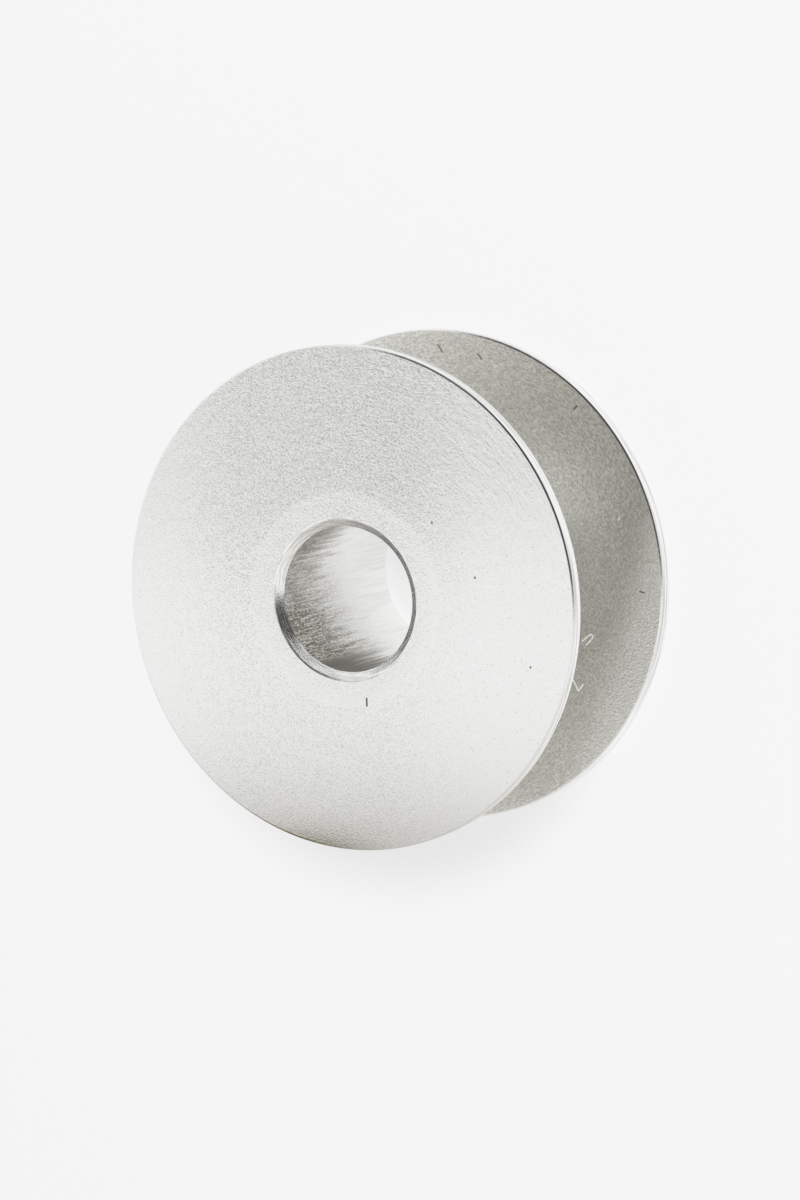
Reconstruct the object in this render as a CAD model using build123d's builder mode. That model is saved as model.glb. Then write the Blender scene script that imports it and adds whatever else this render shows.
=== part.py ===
from build123d import *
import os

# A sewing machine's thread bobbin, turned in one piece from aluminium bar.
# Two solid flanges stand on a thin hub, and the thread is wound between them.
# The axis is Z. The bobbin stands on its lower hub face, at Z = 0.

# Driving dimensions, in millimetres
flange_diameter = 21.0
overall_width = 9.1  # over the two hub faces
rim_thickness = 0.60  # of a flange, at its outer edge
face_fall = 0.20  # how far a flange's outer face falls back at the rim
hub_face_width = 1.46  # of the flat ring round each mouth of the bore
hub_wall = 1.0  # between the bore and the floor of the winding groove
root_radius = 1.0  # where the hub runs into a flange
mouth_chamfer = 0.34  # at each mouth of the bore
edge_break = 0.06  # on the four corners of the two rims
spindle_diameter = 6.0
spindle_clearance = 0.04  # on the radius, so that the bobbin turns freely

# Worked out from the driving dimensions
flange_radius = flange_diameter / 2
bore_radius = spindle_diameter / 2 + spindle_clearance
hub_radius = bore_radius + hub_wall
hub_face_radius = bore_radius + hub_face_width
groove_floor = face_fall + rim_thickness  # height of the lower flange's inner face
groove_width = overall_width - 2 * groove_floor
groove_depth = flange_radius - hub_radius
mid_height = overall_width / 2


def circles_of(part, radius):
    """The part's round edges of one radius."""
    return part.edges().filter_by(GeomType.CIRCLE).filter_by(
        lambda edge: abs(edge.radius - radius) < 1e-4
    )


with BuildPart() as bobbin:
    # The blank: a flat ring round the axis at each end, then a shallow cone
    # that falls back to the rim, so only the hub faces rub in the bobbin case.
    with BuildSketch(Plane.XZ):
        with BuildLine():
            Polyline(
                (0, 0),
                (hub_face_radius, 0),
                (flange_radius, face_fall),
                (flange_radius, overall_width - face_fall),
                (hub_face_radius, overall_width),
                (0, overall_width),
                close=True,
            )
        make_face()
    revolve(axis=Axis.Z)

    # The winding groove, with flat walls and a rounded root on both sides
    with BuildSketch(Plane.XZ):
        with Locations((hub_radius, mid_height)):
            groove = Rectangle(
                groove_depth, groove_width, align=(Align.MIN, Align.CENTER)
            )
        fillet(groove.vertices().group_by(Axis.X)[0], root_radius)
    revolve(axis=Axis.Z, mode=Mode.SUBTRACT)

    # The bore for the winder's spindle, open at both ends
    with Locations((0, 0, mid_height)):
        Hole(bore_radius)
    chamfer(circles_of(bobbin, bore_radius), mouth_chamfer)

    # Sharp corners would cut the thread
    chamfer(circles_of(bobbin, flange_radius), edge_break)

bobbin.part.label = "bobbin"

os.makedirs("parts", exist_ok=True)
export_step(bobbin.part, "parts/bobbin.step")
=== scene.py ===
import math

import bmesh
import bpy
from mathutils import Matrix, Vector

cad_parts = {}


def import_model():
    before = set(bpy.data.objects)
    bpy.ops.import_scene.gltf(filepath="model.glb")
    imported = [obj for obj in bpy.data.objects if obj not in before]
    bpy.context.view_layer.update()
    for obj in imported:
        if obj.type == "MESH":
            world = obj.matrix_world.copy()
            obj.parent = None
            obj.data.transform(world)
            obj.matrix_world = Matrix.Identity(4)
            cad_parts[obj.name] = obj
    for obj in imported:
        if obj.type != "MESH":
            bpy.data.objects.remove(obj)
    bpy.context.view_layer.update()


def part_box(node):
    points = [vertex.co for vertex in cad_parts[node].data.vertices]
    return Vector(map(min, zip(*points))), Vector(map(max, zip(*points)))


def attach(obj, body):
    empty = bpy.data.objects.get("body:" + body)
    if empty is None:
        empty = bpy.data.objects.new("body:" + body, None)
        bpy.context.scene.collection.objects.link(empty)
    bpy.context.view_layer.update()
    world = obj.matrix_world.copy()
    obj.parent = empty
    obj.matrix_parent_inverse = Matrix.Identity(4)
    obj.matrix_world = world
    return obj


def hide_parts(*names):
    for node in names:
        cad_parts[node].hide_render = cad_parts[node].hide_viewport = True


# The bobbin of the frame, with its turned surfaces, standing on a pale floor.
# +X is to the right of the picture, +Y is up in it, and +Z points at the viewer.

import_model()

MM = 0.001

# The section's sizes, in millimetres, as the CAD model has them
SPINDLE_DIAMETER = 6.0
SPINDLE_CLEARANCE = 0.04
HUB_WALL = 1.0
HUB_FACE_WIDTH = 1.46
ROOT_RADIUS = 1.0
RIM_THICKNESS = 0.60
FACE_FALL = 0.20
MOUTH_CHAMFER = 0.34

# What is finer here than the CAD model's plain chamfers, in millimetres
CHAMFER_SLOPE = 38.5  # degrees from the hub face
EDGE_ACROSS = 0.07  # how far a broken edge reaches over a flange's side
EDGE_DOWN = 0.038  # and over its rim
EDGE_BULGE = 0.08  # from flat at 0 to round at 1
LIP_ROUNDING = 0.04  # where the chamfer runs out into the hub face
LIP_BULGE = 0.6  # as EDGE_BULGE
TIGHT = 0.01  # from a rounding to a ring of points that keeps its shading to itself

lowest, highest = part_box("bobbin")
FLANGE_RADIUS = round((highest.x - lowest.x) / 2 / MM, 2)
WIDTH = round((highest.z - lowest.z) / MM, 2)
BORE_RADIUS = SPINDLE_DIAMETER / 2 + SPINDLE_CLEARANCE
HUB_RADIUS = BORE_RADIUS + HUB_WALL
HUB_FACE_RADIUS = BORE_RADIUS + HUB_FACE_WIDTH
GROOVE_FLOOR = FACE_FALL + RIM_THICKNESS

TURNS = 512  # points in each ring of the mesh
ROOT_STEPS = 14  # and along a groove root's quarter circle
SHARPEST_SMOOTH = math.radians(20)  # a larger angle between two faces shows as an edge

# Small marks from handling: lines of (x, y) points in millimetres
NEAR_HEIGHT = 0.1  # a mark's distance in height counts this much of one across
FACE_NICKS = [
    [(1.04, -4.03), (1.05, -4.34)],
    [(6.05, 1.36), (6.06, 1.33)],
    [(8.56, -2.14), (8.57, -2.17)],
    [(4.07, 3.48), (4.08, 3.45)],
]
GROOVE_DARK_SCRATCHES = [
    [(-0.16, 9.87), (0.06, 9.56)],
    [(1.75, 9.57), (1.94, 9.35)],
    [(6.46, 7.58), (6.33, 7.44)],
    [(9.46, -0.04), (9.65, -0.08)],
]
GROOVE_PALE_SCRATCHES = [
    [(6.79, -2.34), (7.16, -2.03), (7.30, -2.09), (7.16, -2.31), (6.98, -2.48)],
    [(6.37, -4.04), (6.61, -4.49), (6.84, -4.18)],
    [(8.46, 2.92), (8.49, 2.99)],
]
FACE_NICK_WIDTH = 0.075
DARK_SCRATCH_WIDTH = 0.055
PALE_SCRATCH_WIDTH = 0.065

# Where the finishes and the painted light and shade change, from one place to another, in
# millimetres from the axis:
# to the side or up in the picture, outwards, or down from the upper mouth
COARSE_MIDDLE = -1.5
COARSE_ASIDE = (2.5, 8.5)  # from COARSE_MIDDLE
COARSE_UPWARD = (-3.0, 5.5)
COARSE_BY_LIP = (HUB_FACE_RADIUS - 1.1, HUB_FACE_RADIUS)
COMBED_UPWARD = (0.0, 5.0)
CONE_START = (HUB_FACE_RADIUS - 0.06, HUB_FACE_RADIUS + 0.06)
PAINTED_LIGHT_OUTWARD = (7.2, 10.2)
HUB_END = (HUB_RADIUS + 0.16, HUB_RADIUS + 0.96)
TORN_DOWNWARD = (0.5, 6.0)
TORN_RAGGEDNESS = 6.0  # how unevenly it reaches down
UNDERSIDE_SHADE_DOWNWARD = (3.0, 7.5)

# The finishes' colours, and the light and shade painted into some of them, as red, green, blue and
# opacity
CLEAN_FACE = (0.94, 0.94, 0.935, 1.0)
UPPER_CONE_SHADE = (0.82, 0.82, 0.815, 1.0)
FACE_SPECK = (0.66, 0.66, 0.65, 1.0)
PIT_SHADE = (0.50, 0.495, 0.48, 1.0)
FACE_NICK = (0.10, 0.10, 0.09, 1.0)
RIM_LINE = (0.66, 0.66, 0.655, 1.0)
RIM_LIGHT = (0.96, 0.96, 0.955, 1.0)
EDGE_DULL = (0.82, 0.82, 0.81, 1.0)
EDGE_BRIGHT = (0.99, 0.99, 0.98, 1.0)
GROOVE_DARK_GRAIN = (0.70, 0.695, 0.67, 1.0)
GROOVE_PALE_GRAIN = (1.0, 0.995, 0.96, 1.0)
PAINTED_LIGHT_DARK_GRAIN = (0.95, 0.945, 0.93, 1.0)
PAINTED_LIGHT_PALE_GRAIN = (1.0, 0.995, 0.98, 1.0)
GROOVE_HAZE = (0.70, 0.70, 0.65, 1.0)
HUB_PAINTED_SHADE = (0.62, 0.62, 0.59, 1.0)
HUB_PAINTED_HIGHLIGHT = (1.0, 1.0, 0.98, 1.0)
DARK_SCRATCH = (0.16, 0.15, 0.13, 1.0)
PAINTED_GLINT = (0.8, 0.8, 0.76, 1.0)
TORN_PAINTED_SHADE = (0.22, 0.21, 0.175, 1.0)
TORN_LIGHT = (0.86, 0.84, 0.78, 1.0)
BORE_PAINTED_LIGHT = (0.94, 0.92, 0.87, 1.0)
BORE_PAINTED_SHADE = (0.24, 0.23, 0.19, 1.0)
SMOOTH_LIGHT = (0.98, 0.978, 0.97, 1.0)
SMOOTH_DULL = (0.90, 0.898, 0.885, 1.0)
CHAMFER_DULL = (0.76, 0.76, 0.75, 1.0)
CHAMFER_BRIGHT = (1.0, 1.0, 0.99, 1.0)

# Sides of the bobbin, as directions from its axis
FACE_UPWARD = (-0.1, 1.0, 0.0)
PAINTED_LIGHT_SIDE = (0.95, -0.30, 0.0)
HUB_HIGHLIGHT_SIDE = (0.56, 0.83, 0.0)
TORN_SIDE = (-0.26, -0.97, 0.0)  # where the bore's torn part reaches 1 mm further down
BORE_LEFT = (-0.98, 0.17, 0.0)
BORE_UPPER_LEFT = (-0.55, 0.84, 0.0)
BORE_UNDERSIDE = (0.05, -1.0, 0.0)


# ---------------------------------------------------------------- nodes

class Nodes:
    """A node tree, with short calls for the nodes used here."""

    def __init__(self, tree, place):
        self.tree = tree
        self.place = self.node("ShaderNodeTexCoord").outputs[place]

    def node(self, kind, inputs=None, **settings):
        made = self.tree.nodes.new(kind)
        for name, value in settings.items():
            setattr(made, name, value)
        for key, value in (inputs or {}).items():
            self.put(made.inputs[key], value)
        return made

    def put(self, socket, value):
        if isinstance(value, bpy.types.NodeSocket):
            self.tree.links.new(value, socket)
        else:
            socket.default_value = value

    def seen(self):
        """1 for what the camera sees, 0 elsewhere."""
        return self.node("ShaderNodeLightPath").outputs["Is Camera Ray"]

    def mirrored(self):
        """1 for what metal or glass shows, 0 for what the camera or a matt surface sees."""
        path = self.node("ShaderNodeLightPath").outputs
        return self.math("MAXIMUM", path["Is Glossy Ray"], path["Is Transmission Ray"])

    def math(self, operation, a, b=0.0):
        made = self.node("ShaderNodeMath", {0: a, 1: b}, operation=operation)
        return made.outputs[0]

    def vector(self, operation, a, b):
        made = self.node("ShaderNodeVectorMath", {0: a, 1: b}, operation=operation)
        return made.outputs[0]

    def length(self, a):
        made = self.node("ShaderNodeVectorMath", {0: a}, operation="LENGTH")
        return made.outputs["Value"]

    def dot(self, a, b):
        made = self.node("ShaderNodeVectorMath", {0: a, 1: b}, operation="DOT_PRODUCT")
        return made.outputs["Value"]

    def times(self, a, b):
        return self.math("MULTIPLY", a, b)

    def per_mm(self, across, up=None):
        """The place on the surface, scaled to so many features a millimetre."""
        if up is None:
            up = across
        return self.vector("MULTIPLY", self.place, (across / MM, across / MM, up / MM))

    def noise(self, place, detail=2.0, roughness=0.5):
        made = self.node(
            "ShaderNodeTexNoise",
            {"Vector": place, "Scale": 1.0, "Detail": detail, "Roughness": roughness},
        )
        return made.outputs["Fac"]

    def spots(self, place):
        """Distance from the nearest of many scattered points, in their own scale."""
        made = self.node("ShaderNodeTexVoronoi", {"Vector": place, "Scale": 1.0})
        return made.outputs["Distance"]

    def grains(self, place):
        """A value from 0 to 1 for each of many small grains, in their own scale."""
        made = self.node("ShaderNodeTexVoronoi", {"Vector": place, "Scale": 1.0})
        return self.node("ShaderNodeSeparateColor", {0: made.outputs["Color"]}).outputs[0]

    def remap(self, value, low, high, to_low=0.0, to_high=1.0):
        """value, taken smoothly from low..high to to_low..to_high, and held there."""
        made = self.node(
            "ShaderNodeMapRange",
            {"Value": value, "From Min": low, "From Max": high,
             "To Min": to_low, "To Max": to_high},
            interpolation_type="SMOOTHSTEP",
        )
        return made.outputs["Result"]

    def mix(self, factor, a, b):
        """Colour a, changed to colour b where factor is 1."""
        made = self.node("ShaderNodeMix", data_type="RGBA")
        self.put(made.inputs["Factor"], factor)
        self.put(made.inputs["A"], a)
        self.put(made.inputs["B"], b)
        return made.outputs["Result"]

    def bump(self, height, depth_mm, under=None):
        """Relief: height from 0 to 1 stands for depth_mm millimetres."""
        inputs = {"Strength": 1.0, "Distance": depth_mm * MM, "Height": height}
        if under is not None:
            inputs["Normal"] = under
        return self.node("ShaderNodeBump", inputs).outputs["Normal"]

    def height(self):
        """Height above the floor, in millimetres."""
        upward = self.node("ShaderNodeSeparateXYZ", {0: self.place}).outputs["Z"]
        return self.times(upward, 1 / MM)

    def radius(self):
        """Distance from the bobbin's axis, in metres."""
        return self.length(self.vector("MULTIPLY", self.place, (1.0, 1.0, 0.0)))

    def within(self, band, to_low=0.0, to_high=1.0):
        """to_low nearer the axis than a band of radii in millimetres, to_high past it."""
        start, end = band
        return self.remap(self.radius(), start * MM, end * MM, to_low, to_high)

    def towards(self, side):
        """How far the place lies from the axis towards one side, in millimetres."""
        return self.dot(self.place, tuple(part / MM for part in side))

    def spoke(self):
        """The unit vector from the axis towards the place."""
        flat = self.vector("MULTIPLY", self.place, (1.0, 1.0, 0.0))
        made = self.node("ShaderNodeVectorMath", {0: flat}, operation="NORMALIZE")
        return made.outputs[0]

    def facing(self, side, low, high, to_low=0.0, to_high=1.0):
        """to_high on the side of the axis that lies in one direction, to_low off it."""
        return self.remap(self.dot(self.spoke(), side), low, high, to_low, to_high)

    def strokes(self, lines, height, width):
        """1 on scratches of one width near one height, each a line of (x, y) points, in mm."""
        place = self.vector("MULTIPLY", self.place, (1.0, 1.0, NEAR_HEIGHT))
        nearest = 1.0
        for line in lines:
            for (x0, y0), (x1, y1) in zip(line, line[1:]):
                start = Vector((x0, y0, height * NEAR_HEIGHT)) * MM
                along = Vector((x1 - x0, y1 - y0, 0.0)) * MM
                offset = self.vector("SUBTRACT", place, start)
                share = self.dot(offset, along / along.length_squared)
                share = self.math("MINIMUM", self.math("MAXIMUM", share, 0.0), 1.0)
                step = self.node("ShaderNodeVectorMath", {0: along}, operation="SCALE")
                self.put(step.inputs["Scale"], share)
                apart = self.length(self.vector("SUBTRACT", offset, step.outputs[0]))
                nearest = self.math("MINIMUM", nearest, apart)
        # Half of the mark's strength is left at its edge, half its width from its middle.
        return self.remap(nearest, width / 4 * MM, width * 0.75 * MM, 1.0, 0.0)

    def turning(self, lines_per_mm, breaks_per_radian):
        """A place for a texture, drawn out round the axis as a lathe tool's marks are."""
        across = self.times(self.radius(), lines_per_mm / MM)
        up = self.times(self.height(), lines_per_mm)
        round_it = self.vector("MULTIPLY", self.spoke(), (breaks_per_radian,) * 3)
        line = self.node("ShaderNodeCombineXYZ", {"Z": self.math("ADD", across, up)})
        return self.vector("ADD", round_it, line.outputs[0])

    def along_the_turning(self, lines_per_mm, breaks_per_radian):
        """Noise in lines that run round the axis."""
        return self.noise(self.turning(lines_per_mm, breaks_per_radian), detail=3.0, roughness=0.6)


class Surface(Nodes):
    """A material's node tree, which starts with a Principled shader."""

    def __init__(self, name):
        self.material = bpy.data.materials.new(name)
        self.material.use_nodes = True
        super().__init__(self.material.node_tree, "Object")
        self.shader = self.tree.nodes["Principled BSDF"]
        self.output = self.tree.nodes["Material Output"]


def metal(name, roughness):
    surface = Surface(name)
    surface.shader.inputs["Metallic"].default_value = 1.0
    surface.shader.inputs["Roughness"].default_value = roughness
    return surface


def tumbled_face():
    """The flanges' outer faces: turned, then tumbled to a fine grain with small pits whose shade
    is painted in, and with painted shade towards the cone's top.
    """
    surface = metal("tumbled_aluminium", 0.15)
    grain = surface.noise(surface.per_mm(16), detail=1.0, roughness=0.6)
    waves = surface.noise(surface.per_mm(0.7), detail=3.0)
    fine_streaks = surface.along_the_turning(9.0, 26.0)
    broad_streaks = surface.along_the_turning(3.6, 11.0)
    flakes = surface.grains(surface.per_mm(24))
    on_cone = surface.within(CONE_START)

    # The grain is coarsest up the middle of the picture, towards its top, and by the lip.
    # The tool's streaks show in the upper half.
    rightward = surface.towards((1.0, 0.0, 0.0))
    upward = surface.towards(FACE_UPWARD)
    aside = surface.math("ABSOLUTE", surface.math("SUBTRACT", rightward, COARSE_MIDDLE))
    coarse = surface.remap(aside, *COARSE_ASIDE, 1.0, 0.25)
    coarse = surface.times(coarse, surface.remap(upward, *COARSE_UPWARD, 0.65, 1.3))
    coarse = surface.math("ADD", coarse, surface.within(COARSE_BY_LIP, 0.25, 0.0))
    combed = surface.remap(upward, *COMBED_UPWARD, 0.10, 1.0)

    specks = surface.times(surface.remap(flakes, 0.05, 0.40, 1.0, 0.0), coarse)
    specks = surface.times(specks, surface.remap(on_cone, 0.0, 1.0, 0.45, 1.0))
    # Painted shade: the pits are only darker spots in the colour, standing for the shade that
    # falls in them.
    painted_pit_shade = surface.remap(surface.spots(surface.per_mm(4.5)), 0.05, 0.17, 1.0, 0.0)
    some = surface.remap(surface.noise(surface.per_mm(2.3)), 0.38, 0.62, 0.15, 0.85)
    nicks = surface.strokes(FACE_NICKS, WIDTH, FACE_NICK_WIDTH)
    # Painted shade: the cone is painted darker towards the top, as the dimmer room above would
    # make it.
    painted_upper_shade = surface.times(on_cone, surface.times(combed, 0.35))
    colour = surface.mix(painted_upper_shade, CLEAN_FACE, UPPER_CONE_SHADE)
    colour = surface.mix(specks, colour, FACE_SPECK)
    colour = surface.mix(surface.times(painted_pit_shade, some), colour, PIT_SHADE)
    colour = surface.mix(nicks, colour, FACE_NICK)
    surface.put(surface.shader.inputs["Base Color"], colour)

    normal = surface.bump(waves, 0.010)
    normal = surface.bump(surface.times(broad_streaks, combed), 0.014, normal)
    normal = surface.bump(surface.times(fine_streaks, combed), 0.011, normal)
    normal = surface.bump(surface.times(grain, coarse), 0.015, normal)
    surface.put(surface.shader.inputs["Normal"], normal)
    return surface.material


def turned_rim():
    """The rims: bright, with a few fine tool lines."""
    surface = metal("turned_rim", 0.22)
    lines = surface.along_the_turning(8.0, 2.5)
    colour = surface.mix(surface.remap(lines, 0.36, 0.52), RIM_LINE, RIM_LIGHT)
    surface.put(surface.shader.inputs["Base Color"], colour)
    surface.put(surface.shader.inputs["Normal"], surface.bump(lines, 0.001))
    return surface.material


def broken_edge():
    """The small chamfers on the rims' corners, which mirror the dark of the room."""
    surface = metal("broken_edge", 0.18)
    nicks = surface.noise(surface.per_mm(5))
    colour = surface.mix(nicks, EDGE_DULL, EDGE_BRIGHT)
    surface.put(surface.shader.inputs["Base Color"], colour)
    surface.put(surface.shader.inputs["Normal"], surface.bump(nicks, 0.004))
    return surface.material


def turned_groove():
    """The winding groove: duller, with close tool lines, painted brighter on one side towards the
    rim, and with a painted highlight and shade on the hub.
    """
    surface = metal("turned_groove", 0.26)
    lines = surface.along_the_turning(12.0, 60.0)
    grain = surface.noise(surface.per_mm(13), detail=1.0, roughness=0.6)
    clouds = surface.noise(surface.per_mm(0.6), detail=3.0)
    flakes = surface.grains(surface.turning(18.0, 90.0))
    # Painted light: the groove is painted brighter outwards on this side, where the room's light
    # would fall on it.
    painted_light_mask = surface.remap(surface.towards(PAINTED_LIGHT_SIDE), *PAINTED_LIGHT_OUTWARD)

    dark_grain = surface.mix(painted_light_mask, GROOVE_DARK_GRAIN, PAINTED_LIGHT_DARK_GRAIN)
    pale_grain = surface.mix(painted_light_mask, GROOVE_PALE_GRAIN, PAINTED_LIGHT_PALE_GRAIN)
    colour = surface.mix(flakes, dark_grain, pale_grain)
    haze = surface.remap(clouds, 0.38, 0.66, 0.0, 0.14)
    colour = surface.mix(haze, colour, GROOVE_HAZE)
    # Painted highlight and shade: the hub is painted bright on one side and dark elsewhere, for
    # what the groove mirrors of it.
    hub = surface.within(HUB_END, 1.0, 0.0)
    hub_highlight_and_shade = surface.mix(surface.facing(HUB_HIGHLIGHT_SIDE, 0.78, 0.97), HUB_PAINTED_SHADE, HUB_PAINTED_HIGHLIGHT)
    colour = surface.mix(hub, colour, hub_highlight_and_shade)
    dark = surface.strokes(GROOVE_DARK_SCRATCHES, GROOVE_FLOOR, DARK_SCRATCH_WIDTH)
    colour = surface.mix(dark, colour, DARK_SCRATCH)
    surface.put(surface.shader.inputs["Base Color"], colour)

    # The pale scratches are painted glints: they glow, with light that the groove round them
    # doesn't catch.
    painted_glint_mask = surface.strokes(GROOVE_PALE_SCRATCHES, GROOVE_FLOOR, PALE_SCRATCH_WIDTH)
    surface.shader.inputs["Emission Color"].default_value = PAINTED_GLINT
    surface.put(surface.shader.inputs["Emission Strength"], surface.times(painted_glint_mask, 0.45))

    grain = surface.times(grain, surface.remap(painted_light_mask, 0.0, 1.0, 0.18, 1.0))
    normal = surface.bump(lines, 0.010)
    normal = surface.bump(grain, 0.055, normal)
    surface.put(surface.shader.inputs["Normal"], normal)
    return surface.material


def reamed_bore():
    """The bore: torn and streaked near its upper mouth, with the darkness there painted shade,
    smooth and bright further down.
    """
    surface = metal("reamed_bore", 0.3)
    streaks = surface.noise(surface.per_mm(5, 0.32), detail=3.0, roughness=0.6)
    tears = surface.noise(surface.per_mm(15, 1.0), roughness=0.6)
    crumbs = surface.noise(surface.per_mm(15, 9), detail=1.0)
    depth = surface.math("SUBTRACT", WIDTH, surface.height())
    ragged = surface.times(surface.math("SUBTRACT", streaks, 0.5), TORN_RAGGEDNESS)
    further = surface.dot(surface.spoke(), TORN_SIDE)
    reach = surface.math("SUBTRACT", surface.math("ADD", depth, ragged), further)
    torn = surface.remap(reach, *TORN_DOWNWARD, 1.0, 0.0)
    surface.put(surface.shader.inputs["Roughness"], surface.remap(torn, 0.0, 1.0, 0.13, 0.46))

    # Painted shade: the torn part's dark colour is shade painted in, not the metal's own.
    shine = surface.times(surface.math("ADD", tears, crumbs), 0.5)
    torn_light_and_shade = surface.mix(surface.remap(shine, 0.41, 0.63), TORN_PAINTED_SHADE, TORN_LIGHT)
    # Painted light on the torn part's left, and painted shade on its upper left and, further down,
    # on its underside.
    left = surface.facing(BORE_LEFT, 0.86, 1.0, 0.0, 0.3)
    torn_light_and_shade = surface.mix(left, torn_light_and_shade, BORE_PAINTED_LIGHT)
    upper_left = surface.facing(BORE_UPPER_LEFT, 0.90, 0.98, 0.0, 0.25)
    torn_light_and_shade = surface.mix(upper_left, torn_light_and_shade, BORE_PAINTED_SHADE)
    underside = surface.facing(BORE_UNDERSIDE, 0.82, 0.93)
    painted_underside_shade = surface.times(underside, surface.remap(depth, *UNDERSIDE_SHADE_DOWNWARD, 1.0, 0.0))
    torn_light_and_shade = surface.mix(painted_underside_shade, torn_light_and_shade, BORE_PAINTED_SHADE)
    smooth_colour = surface.mix(surface.remap(streaks, 0.35, 0.65), SMOOTH_LIGHT, SMOOTH_DULL)
    colour = surface.mix(torn, smooth_colour, torn_light_and_shade)
    surface.put(surface.shader.inputs["Base Color"], colour)

    normal = surface.bump(surface.times(streaks, torn), 0.004)
    normal = surface.bump(surface.times(tears, torn), 0.006, normal)
    surface.put(surface.shader.inputs["Normal"], normal)
    return surface.material


def turned_chamfer():
    """The chamfers at the bore's mouths, with the tool's rings."""
    surface = metal("turned_chamfer", 0.20)
    lines = surface.along_the_turning(10.0, 4.0)
    grain = surface.noise(surface.per_mm(16), detail=1.0)
    rings = surface.remap(lines, 0.42, 0.56)
    colour = surface.mix(rings, CHAMFER_DULL, CHAMFER_BRIGHT)
    surface.put(surface.shader.inputs["Base Color"], colour)
    normal = surface.bump(lines, 0.011)
    normal = surface.bump(grain, 0.006, normal)
    surface.put(surface.shader.inputs["Normal"], normal)
    return surface.material


# ---------------------------------------------------------------- the bobbin's mesh

def run(start, end, steps):
    """Points from start up to end, without end itself."""
    (r0, z0), (r1, z1) = start, end
    return [(r0 + (r1 - r0) * i / steps, z0 + (z1 - z0) * i / steps) for i in range(steps)]


def corner(start, tip, end, bulge, steps=6):
    """A chamfer from start to end, whose middle bulges towards tip: 0 is flat, 1 is round."""
    pull = [bulge * t + (1 - bulge) / 2 * (a + b) for a, t, b in zip(start, tip, end)]
    points = []
    for i in range(steps):
        t = i / steps
        points.append(tuple(
            (1 - t) ** 2 * a + 2 * t * (1 - t) * b + t * t * c
            for a, b, c in zip(start, pull, end)
        ))
    return points


def upper_half():
    """The section's upper half from the bore round to the hub, as (finish, points)."""
    rim = FLANGE_RADIUS
    top = WIDTH
    rim_top = WIDTH - FACE_FALL
    slope = FACE_FALL / (rim - HUB_FACE_RADIUS)
    rim_under = rim_top - RIM_THICKNESS
    middle = WIDTH / 2
    steepness = math.tan(math.radians(CHAMFER_SLOPE))
    mouth = (BORE_RADIUS, top - MOUTH_CHAMFER * steepness)
    lip = (BORE_RADIUS + MOUTH_CHAMFER, top)
    under_lip = (lip[0] - LIP_ROUNDING, top - LIP_ROUNDING * steepness)
    below_lip = (under_lip[0] - TIGHT, under_lip[1] - TIGHT * steepness)
    over_lip = (lip[0] + LIP_ROUNDING, top)
    beyond_lip = (over_lip[0] + TIGHT, top)
    face_edge = (rim - EDGE_ACROSS, rim_top + slope * EDGE_ACROSS)
    near_face_edge = (face_edge[0] - TIGHT, face_edge[1] + slope * TIGHT)
    inner_edge = (rim - EDGE_ACROSS, rim_under)
    near_inner_edge = (inner_edge[0] - TIGHT, rim_under)
    root_centre = (HUB_RADIUS + ROOT_RADIUS, rim_under - ROOT_RADIUS)
    root = [
        (root_centre[0] - ROOT_RADIUS * math.sin(a), root_centre[1] + ROOT_RADIUS * math.cos(a))
        for a in (math.pi / 2 * i / ROOT_STEPS for i in range(ROOT_STEPS))
    ]
    return [
        ("bore", run((BORE_RADIUS, middle), mouth, 4)),
        ("chamfer", run(mouth, below_lip, 4)),
        ("chamfer", run(below_lip, under_lip, 1)),
        ("chamfer", corner(under_lip, lip, over_lip, LIP_BULGE)),
        ("face", run(over_lip, beyond_lip, 1)),
        ("face", run(beyond_lip, (HUB_FACE_RADIUS, top), 3)),
        ("face", run((HUB_FACE_RADIUS, top), near_face_edge, 8)),
        ("face", run(near_face_edge, face_edge, 1)),
        ("edge", corner(face_edge, (rim, rim_top), (rim, rim_top - EDGE_DOWN), EDGE_BULGE)),
        ("rim", run((rim, rim_top - EDGE_DOWN), (rim, rim_under + EDGE_DOWN), 3)),
        ("edge", corner((rim, rim_under + EDGE_DOWN), (rim, rim_under), inner_edge, EDGE_BULGE)),
        ("groove", run(inner_edge, near_inner_edge, 1)),
        ("groove", run(near_inner_edge, (root_centre[0], rim_under), 8)),
        ("groove", root),
        ("groove", run((HUB_RADIUS, root_centre[1]), (HUB_RADIUS, middle), 4)),
    ]


def whole_section():
    """The closed section, point by point, each with the finish of the stretch after it."""
    upper = [(point, finish) for finish, points in upper_half() for point in points]
    # The lower half is the upper one upside down, walked the other way.
    lower = [(HUB_RADIUS, WIDTH / 2)]
    lower += [(radius, WIDTH - height) for (radius, height), _ in reversed(upper[1:])]
    finishes = [finish for _, finish in reversed(upper)]
    return upper + list(zip(lower, finishes))


def revolve(name, section, finishes):
    """The closed section, turned round the axis, with a material for each stretch."""
    slots = list(finishes)
    shape = bmesh.new()
    rings = []
    for (radius, height), _ in section:
        ring = []
        for i in range(TURNS):
            angle = 2 * math.pi * i / TURNS
            ring.append(shape.verts.new(
                (radius * math.cos(angle) * MM, radius * math.sin(angle) * MM, height * MM)
            ))
        rings.append(ring)
    for k, (_, finish) in enumerate(section):
        here, there = rings[k], rings[(k + 1) % len(rings)]
        for i in range(TURNS):
            j = (i + 1) % TURNS
            face = shape.faces.new((here[i], here[j], there[j], there[i]))
            face.material_index = slots.index(finish)
            face.smooth = True
    bmesh.ops.recalc_face_normals(shape, faces=shape.faces)
    for edge in shape.edges:
        edge.smooth = edge.calc_face_angle(0.0) < SHARPEST_SMOOTH
    mesh = bpy.data.meshes.new(name)
    shape.to_mesh(mesh)
    shape.free()
    for finish in slots:
        mesh.materials.append(finishes[finish])
    piece = bpy.data.objects.new(name, mesh)
    bpy.context.scene.collection.objects.link(piece)
    return piece


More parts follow.
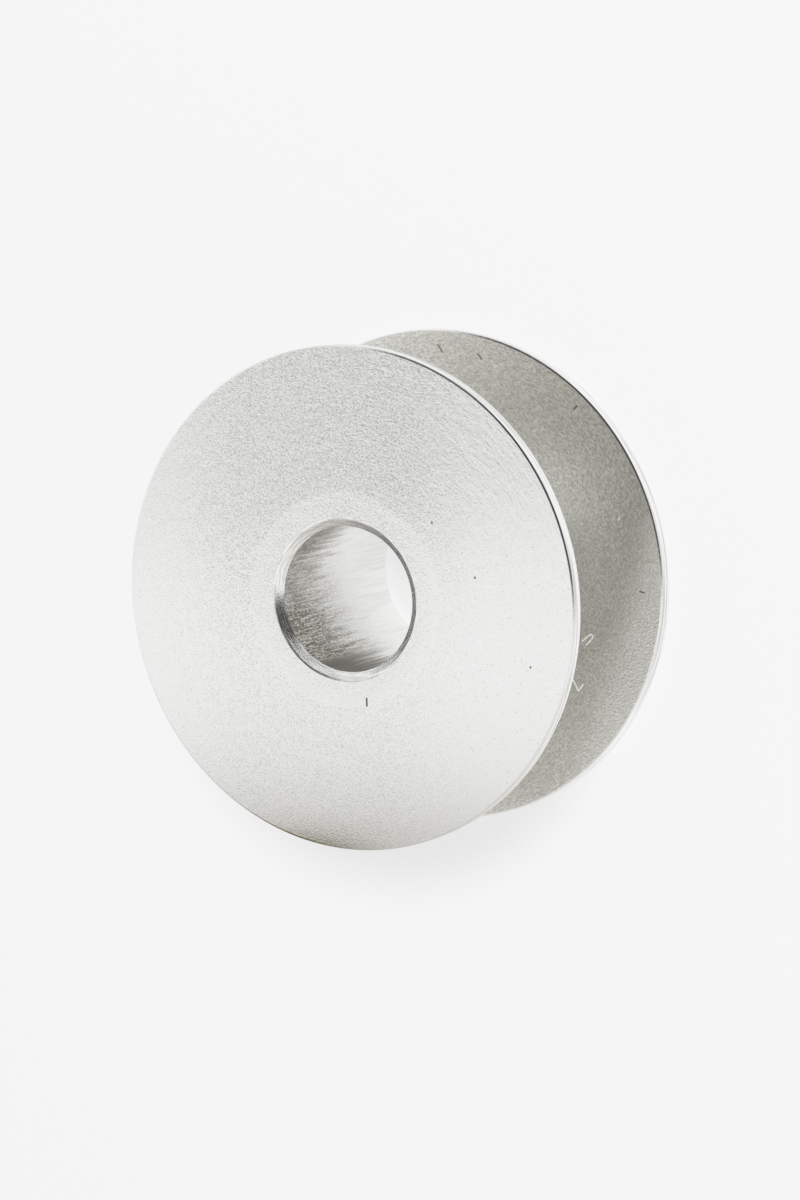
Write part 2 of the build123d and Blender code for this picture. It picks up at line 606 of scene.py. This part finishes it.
def bobbin():
    piece = revolve("bobbin_turned", whole_section(), {
        "face": tumbled_face(),
        "edge": broken_edge(),
        "rim": turned_rim(),
        "groove": turned_groove(),
        "bore": reamed_bore(),
        "chamfer": turned_chamfer(),
    })
    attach(piece, "root")
    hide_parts("bobbin")


# ---------------------------------------------------------------- the studio

PALE = 0.92  # the background's brightness, 246 of 255 on screen
FILL = 0.45  # the room's brightness where it lights the floor; the lamp makes up the rest
DARK = 0.04  # the brightness of the room's dark side
DIMMED = (0.12, 0.08, 0.0, 1.0)  # the colour that its dimmer parts lean to

# The mirrored room: places run from -1 to 1, up, right or near, which is towards the
# viewer. Each part fades in or out from one place to another.
TABLE_END_IN = (-0.115, -0.065)
TABLE_END_DIMNESS = 0.13
WALL_IN = (-0.02, 0.10)
WALL_DIMNESS = 0.27
WALL_OUT = (0.50, 0.75)
WALL_LEFT = (-0.80, -0.62)
CEILING_IN = (0.80, 0.93)
CEILING_DIMNESS = 0.25
DARK_NEAR = (0.50, 0.56)
DARK_FOOT = (-0.12, 0.08)
DARK_FOOT_LEAN = (0.12, 1.0, 0.0)
DARK_LEFT = (-0.46, -0.30)
DARK_TOP = (0.40, 0.50)
DARK_TOP_LEAN = (0.3, 1.0, -0.5)
PALER_MIDDLE = (0.88, 0.96)
PALER_SHARE = 0.3  # of the darkness that is left there

CAMERA_PLACE = Vector((94.7, 28.45, 174.96)) * MM
CAMERA_TARGET = Vector((2.0, 0.0, 8.0)) * MM
CAMERA_LENS = 140.6
SENSOR_HEIGHT = 36.0

FLOOR_RADIUS = 800 * MM
FLOOR_WHITE = 0.85
FLOOR_GLOW = 0.78  # share of the floor's brightness that no shadow takes away

# The card that stands in for a table under the rims, in millimetres
CARD_GAP = 0.3  # from the rims down to the card
CARD_START = 0.4  # above the floor
CARD_END = 60.0  # above the floor, and from the card's middle to its sides
CARD_DARKEST = Vector((-3.0, -(FLANGE_RADIUS + CARD_GAP), WIDTH)) * MM
CARD_SIDEWAYS = 0.6  # a distance to the side counts this much of one along the axis
SHADED_CARD = (0.10, 0.07, 0.0, 1.0)
CARD_SHADE = 0.57  # the share of that colour at the darkest place, which fades slowly
CARD_SHADE_REACH = 9.0
CONTACT_SHADE = 0.40  # and what comes on top of it, which ends at CONTACT_REACH
CONTACT_REACH = 3.5

LAMP_DIRECTION = Vector((0.36, 0.34, 1.0))
LAMP_DISTANCE = 450 * MM
LAMP_SIZE = 120 * MM
LAMP_WATTS = 1.43


def grey(brightness):
    return (brightness, brightness, brightness, 1.0)


def turned_to(place, target, up):
    """A matrix at place whose -Z looks at target and whose Y leans to up."""
    back = (place - target).normalized()
    right = up.cross(back).normalized()
    turn = Matrix((right, back.cross(right), back)).transposed().to_4x4()
    return Matrix.Translation(place) @ turn


def camera():
    data = bpy.data.cameras.new("camera")
    data.sensor_fit = "VERTICAL"
    data.sensor_height = SENSOR_HEIGHT
    data.lens = CAMERA_LENS
    data.clip_start = 0.01
    eye = bpy.data.objects.new("camera", data)
    bpy.context.scene.collection.objects.link(eye)
    eye.matrix_world = turned_to(CAMERA_PLACE, CAMERA_TARGET, Vector((0, 1, 0)))
    bpy.context.scene.camera = eye


def world():
    """A pale room. Metal mirrors its dimmer parts and its dark side, where the viewer stands."""
    sky = bpy.data.worlds.new("pale_room")
    sky.use_nodes = True
    room = Nodes(sky.node_tree, "Generated")
    up = room.dot(room.place, (0.0, 1.0, 0.0))
    right = room.dot(room.place, (1.0, 0.0, 0.0))
    near = room.dot(room.place, (0.0, 0.0, 1.0))

    # Dimmer: the table's end and the wall above it, apart from the far left, and the ceiling
    table_end = room.remap(up, *TABLE_END_IN, 0.0, TABLE_END_DIMNESS)
    wall = room.remap(up, *WALL_IN, 0.0, WALL_DIMNESS)
    dim = room.math("ADD", table_end, wall)
    dim = room.times(dim, room.remap(up, *WALL_OUT, 1.0, 0.0))
    dim = room.times(dim, room.remap(right, *WALL_LEFT))
    dim = room.math("ADD", dim, room.remap(up, *CEILING_IN, 0.0, CEILING_DIMNESS))

    # Dark: the side behind the viewer, from the table up towards the ceiling, apart from
    # the left. It is paler straight over the bobbin's end.
    above_foot = room.remap(room.dot(room.place, DARK_FOOT_LEAN), *DARK_FOOT)
    below_top = room.remap(room.dot(room.place, DARK_TOP_LEAN), *DARK_TOP, 1.0, 0.0)
    dark = room.times(room.remap(near, *DARK_NEAR), above_foot)
    dark = room.times(dark, room.remap(right, *DARK_LEFT))
    dark = room.times(dark, below_top)
    dark = room.times(dark, room.remap(near, *PALER_MIDDLE, 1.0, PALER_SHARE))

    mirrored = room.mix(dark, room.mix(dim, grey(PALE), DIMMED), grey(DARK))
    plain = room.mix(room.seen(), grey(FILL), grey(PALE))
    background = sky.node_tree.nodes["Background"]
    room.put(background.inputs["Color"], room.mix(room.mirrored(), plain, mirrored))
    background.inputs["Strength"].default_value = 1.0
    bpy.context.scene.world = sky


def staged(name, shape, surface):
    mesh = bpy.data.meshes.new(name)
    shape.to_mesh(mesh)
    shape.free()
    mesh.materials.append(surface.material)
    piece = bpy.data.objects.new(name, mesh)
    bpy.context.scene.collection.objects.link(piece)
    return piece


def floor():
    """Pale paper. Seen or mirrored, part of its brightness is its own, so shadows stay faint."""
    shape = bmesh.new()
    bmesh.ops.create_circle(shape, cap_ends=True, segments=128, radius=FLOOR_RADIUS)
    surface = Surface("floor_paper")
    surface.shader.inputs["Base Color"].default_value = grey(FLOOR_WHITE)
    surface.shader.inputs["Roughness"].default_value = 1.0
    surface.shader.inputs["Specular IOR Level"].default_value = 0.0
    glow = surface.node("ShaderNodeEmission", {"Color": grey(PALE)})
    seen = surface.math("MAXIMUM", surface.seen(), surface.mirrored())
    share = surface.times(seen, FLOOR_GLOW)
    both = surface.node(
        "ShaderNodeMixShader", {0: share, 1: surface.shader.outputs[0], 2: glow.outputs[0]}
    )
    surface.put(surface.output.inputs["Surface"], both.outputs[0])
    staged("floor", shape, surface)


def table_card():
    """A glowing card that only the metal mirrors, like a table under the rims, with the table's
    shadow painted on it, darkest close to them.
    """
    shape = bmesh.new()
    side, low, high = CARD_END * MM, CARD_START * MM, CARD_END * MM
    corners = [(-side, low), (side, low), (side, high), (-side, high)]
    shape.faces.new([shape.verts.new((x, CARD_DARKEST.y, z)) for x, z in corners])
    surface = Surface("table_card")
    away = surface.vector("SUBTRACT", surface.place, CARD_DARKEST)
    counted = surface.vector("MULTIPLY", away, (CARD_SIDEWAYS / MM, 0.0, 1 / MM))
    reach = surface.length(counted)
    fade = surface.math("POWER", math.e, surface.times(reach, -1 / CARD_SHADE_REACH))
    contact = surface.remap(reach, 0.0, CONTACT_REACH, CONTACT_SHADE, 0.0)
    shade = surface.math("ADD", surface.times(fade, CARD_SHADE), contact)
    colour = surface.mix(shade, grey(PALE), SHADED_CARD)
    glow = surface.node("ShaderNodeEmission", {"Color": colour})
    surface.put(surface.output.inputs["Surface"], glow.outputs[0])
    card = staged("table_card", shape, surface)
    card.visible_camera = False
    card.visible_diffuse = False
    card.visible_shadow = False


def key_lamp():
    """A soft lamp above the viewer, for the bobbin's shadow on the floor."""
    data = bpy.data.lights.new("key", "AREA")
    data.shape = "DISK"
    data.size = LAMP_SIZE
    data.energy = LAMP_WATTS
    light = bpy.data.objects.new("key", data)
    bpy.context.scene.collection.objects.link(light)
    place = LAMP_DIRECTION.normalized() * LAMP_DISTANCE
    light.matrix_world = turned_to(place, Vector((0, 0, 0)), Vector((1, 0, 0)))
    light.visible_glossy = False


def studio():
    world()
    floor()
    camera()
    table_card()
    key_lamp()


bobbin()
studio()

bpy.context.scene.view_settings.view_transform = "Standard"
